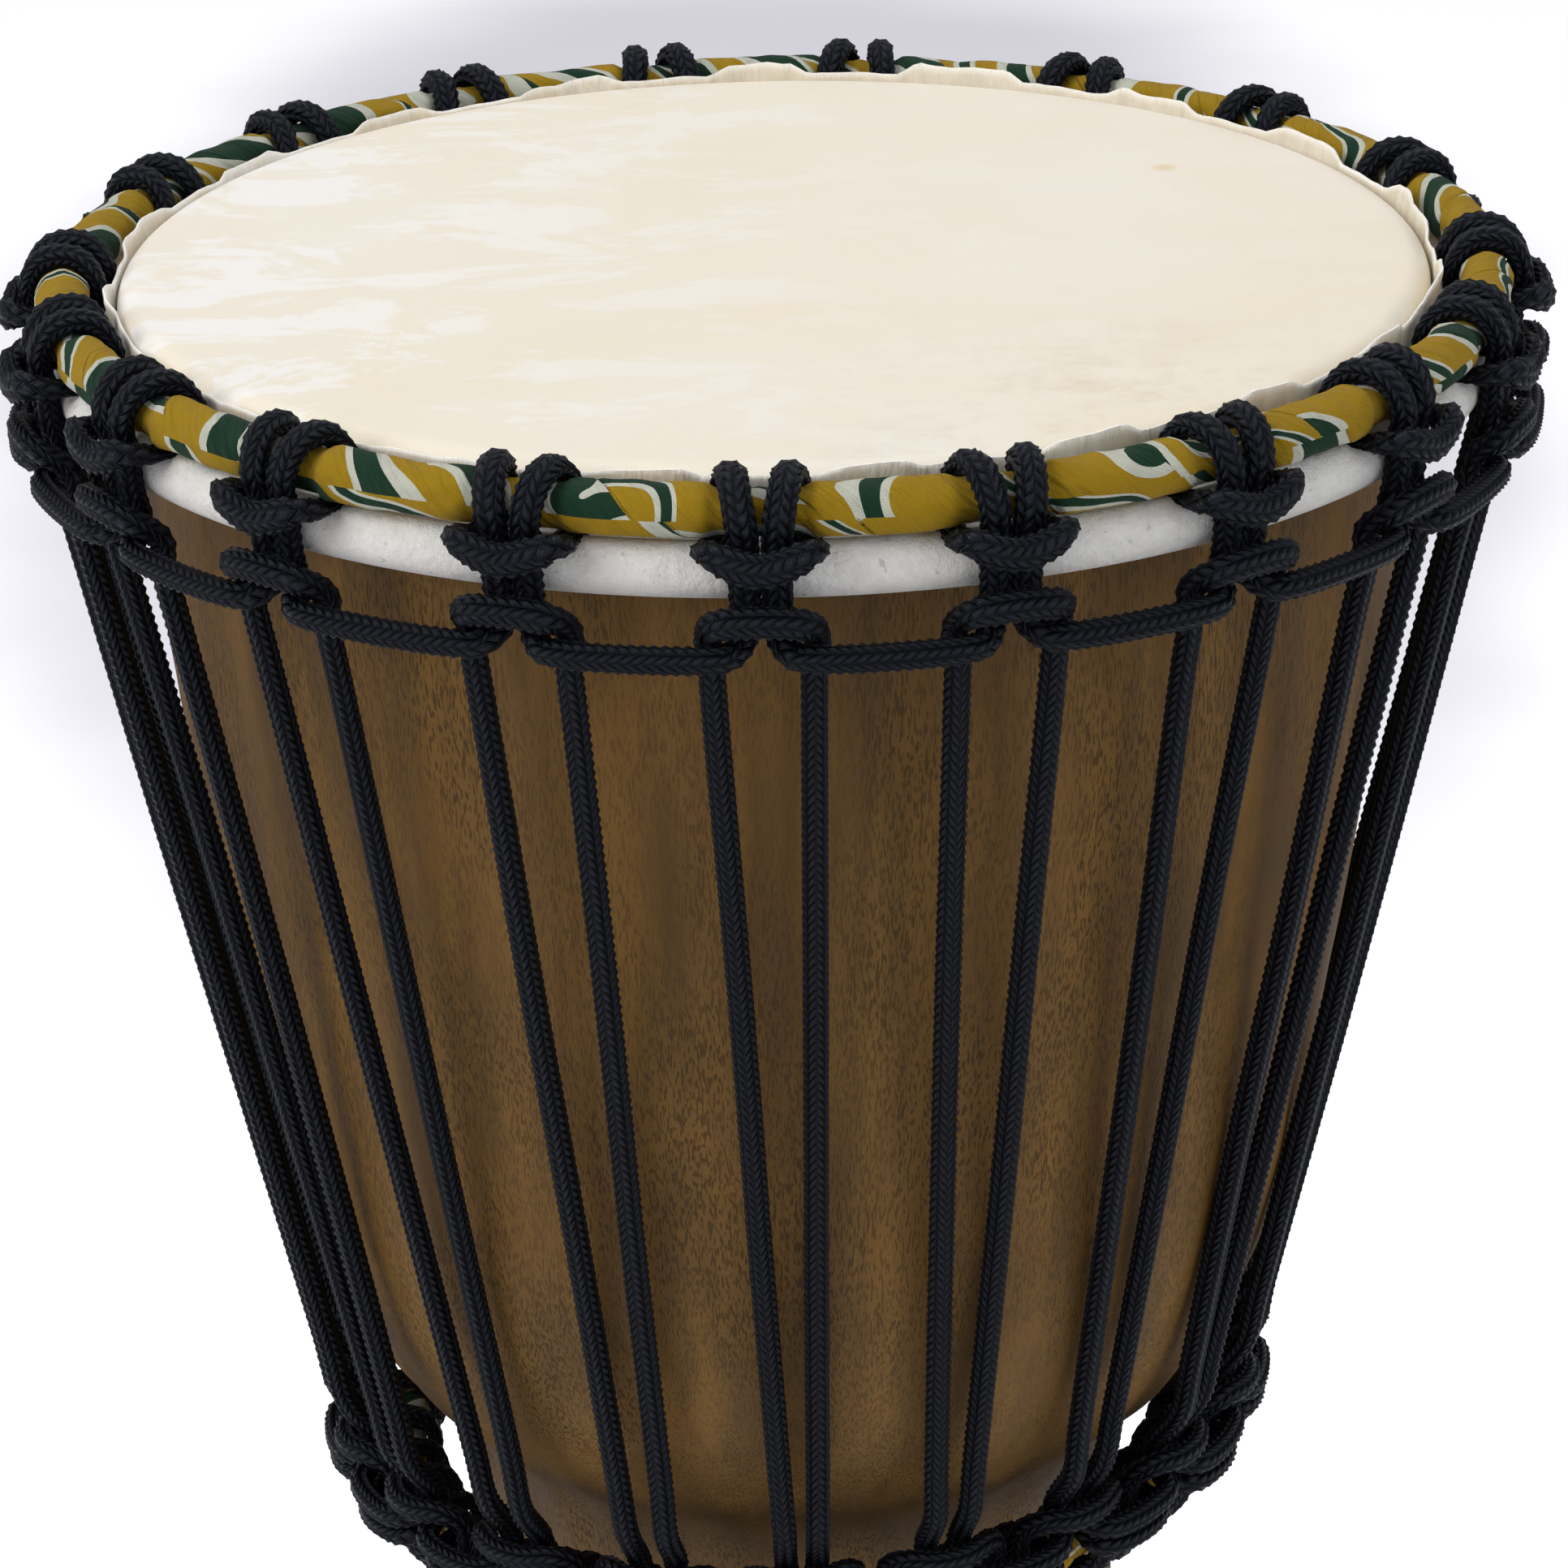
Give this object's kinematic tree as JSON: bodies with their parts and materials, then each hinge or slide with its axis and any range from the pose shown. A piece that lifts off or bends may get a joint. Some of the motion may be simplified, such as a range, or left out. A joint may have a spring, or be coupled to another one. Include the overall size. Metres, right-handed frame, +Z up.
{
  "type": "djembe",
  "caption": "Rope-tuned goblet hand drum: carved wooden shell, goatskin head, cloth-wrapped rings and black rope lacing tied with cow hitches.",
  "frame": {"origin": "middle of the foot, on the floor, on the drum's axis", "axes": "+Z up the drum's axis to the playing head; -Y to the front, where a crown hitch stands on the middle line; +X to the right, where the cradle ring sits slightly higher"},
  "size_m": [0.2998, 0.2987, 0.5059],
  "materials": {
    "shell_wood": "oiled mid-brown hardwood with short dark pores and soft darker streaks, hand-carved surface",
    "goatskin": "shaved goatskin, cream with whiter patches, matt and slightly translucent",
    "ring_steel": "plain round steel rod, welded",
    "printed_cotton": "twill cotton print in gold, dark green and off-white, wound in a strip",
    "black_rope": "16-strand braided polyester rope, near black with a soft sheen"
  },
  "bodies": {
    "root": {"shell": "shell_wood", "drumhead": "goatskin", "flesh_ring": "ring_steel", "crown_ring": "ring_steel", "cradle_ring": "ring_steel", "crown_ring_cloth": "printed_cotton", "cradle_ring_cloth": "printed_cotton", "crown_hitch_rope": "black_rope", "cradle_hitch_rope": "black_rope", "tuning_rope": "black_rope"}
  },
  "joints": []
}
